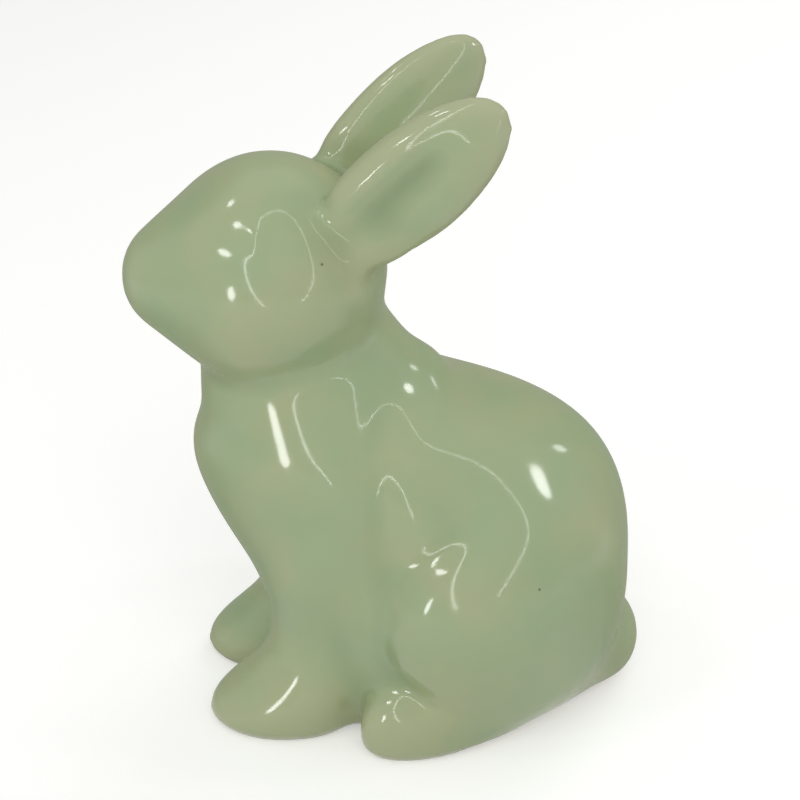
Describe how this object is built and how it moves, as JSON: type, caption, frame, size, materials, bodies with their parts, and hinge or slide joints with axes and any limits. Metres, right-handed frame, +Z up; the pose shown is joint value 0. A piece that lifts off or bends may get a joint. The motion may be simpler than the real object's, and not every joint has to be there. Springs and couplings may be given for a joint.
{
  "type": "ceramic rabbit figurine",
  "caption": "Small seated rabbit ornament in glossy pale green glazed ceramic, ears swept back, hollow cast body closed underneath; stands on a shelf as decoration.",
  "frame": {"origin": "on the floor at the middle of the rabbit's box, under the belly", "axes": "+Z up through the back and ears, -Y the way the nose points, +X the rabbit's own left side; X = 0 is the mirror plane"},
  "size_m": [0.065, 0.0914, 0.1193],
  "materials": {
    "glaze": "gloss",
    "bisque": "matt"
  },
  "bodies": {
    "root": {"torso_shell": "glaze", "head_shell": "glaze", "pour_hole_disc": "bisque", "tail": "glaze", "left_ear": "glaze", "left_foreleg": "glaze", "left_haunch": "glaze", "left_hind_foot": "glaze", "right_ear": "glaze", "right_foreleg": "glaze", "right_haunch": "glaze", "right_hind_foot": "glaze"}
  },
  "joints": []
}
